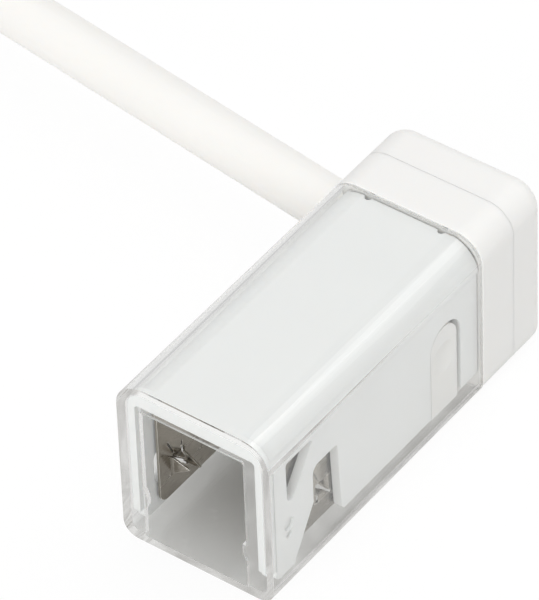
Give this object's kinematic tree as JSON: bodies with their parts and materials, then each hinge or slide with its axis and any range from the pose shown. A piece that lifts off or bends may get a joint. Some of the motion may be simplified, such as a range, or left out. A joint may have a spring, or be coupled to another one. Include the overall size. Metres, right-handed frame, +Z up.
{
  "type": "powerline adapter",
  "caption": "Push-on power feed adapter: clear square sleeve over a white U-shell with spring contacts beside an open mouth, and an end block with a side-exit cable.",
  "frame": {"origin": "middle of the sleeve's front lower edge, in the plane of the mouth", "axes": "+Z up, +Y from the mouth to the end block, -X towards the cable's free end"},
  "size_m": [0.1085, 0.0579, 0.0227],
  "materials": {
    "clear_plastic": "clear polished",
    "shell_plastic": "satin",
    "block_plastic": "satin",
    "carrier_plastic": "matte",
    "contact_metal": "stamped and plated",
    "screw_steel": "zinc plated",
    "terminal_brass": "turned and milled",
    "cable_sheath": "satin, soft",
    "brown_insulation": "satin",
    "blue_insulation": "satin",
    "copper_wire": "bright stranded"
  },
  "bodies": {
    "housing": {"inner_shell": "shell_plastic", "contact_carrier": "carrier_plastic", "carrier_screws": "screw_steel", "terminal_left": "terminal_brass", "terminal_right": "terminal_brass", "terminal_screws": "screw_steel", "end_block_body": "block_plastic", "end_block_cover": "block_plastic", "cover_screws": "screw_steel", "cable_collar": "cable_sheath", "cable_jacket": "cable_sheath", "core_insulation_upper": "brown_insulation", "core_insulation_lower": "blue_insulation", "conductor_upper": "copper_wire", "conductor_lower": "copper_wire", "wire_ferrules": "contact_metal", "strain_ring": "contact_metal"},
    "sleeve": {"clear_sleeve": "clear_plastic"},
    "left_contact": {"contact_left": "contact_metal"},
    "right_contact": {"contact_right": "contact_metal"},
    "left_latch": {"latch_left": "block_plastic"},
    "right_latch": {"latch_right": "block_plastic"}
  },
  "joints": [
    {"name": "sleeve_slide", "type": "slide", "parent": "housing", "child": "sleeve", "axis": [0, -1, 0], "range_m": [0, 0.042]},
    {"name": "contact_left_flex", "type": "hinge", "parent": "housing", "child": "left_contact", "pos_m": [-0.0073, 0.027, 0.01135], "axis": [0, 0, -1], "range_deg": [0, 0.5], "stiffness_Nm_per_rad": 0.55},
    {"name": "contact_right_flex", "type": "hinge", "parent": "housing", "child": "right_contact", "pos_m": [0.0073, 0.027, 0.01135], "axis": [0, 0, 1], "range_deg": [0, 0.5], "stiffness_Nm_per_rad": 0.55},
    {"name": "latch_left_flex", "type": "hinge", "parent": "housing", "child": "left_latch", "pos_m": [-0.007, 0.0424, 0.0052], "axis": [0, 0, 1], "range_deg": [0, 8], "stiffness_Nm_per_rad": 0.5},
    {"name": "latch_right_flex", "type": "hinge", "parent": "housing", "child": "right_latch", "pos_m": [0.007, 0.0424, 0.0052], "axis": [0, 0, -1], "range_deg": [0, 8], "stiffness_Nm_per_rad": 0.5}
  ]
}
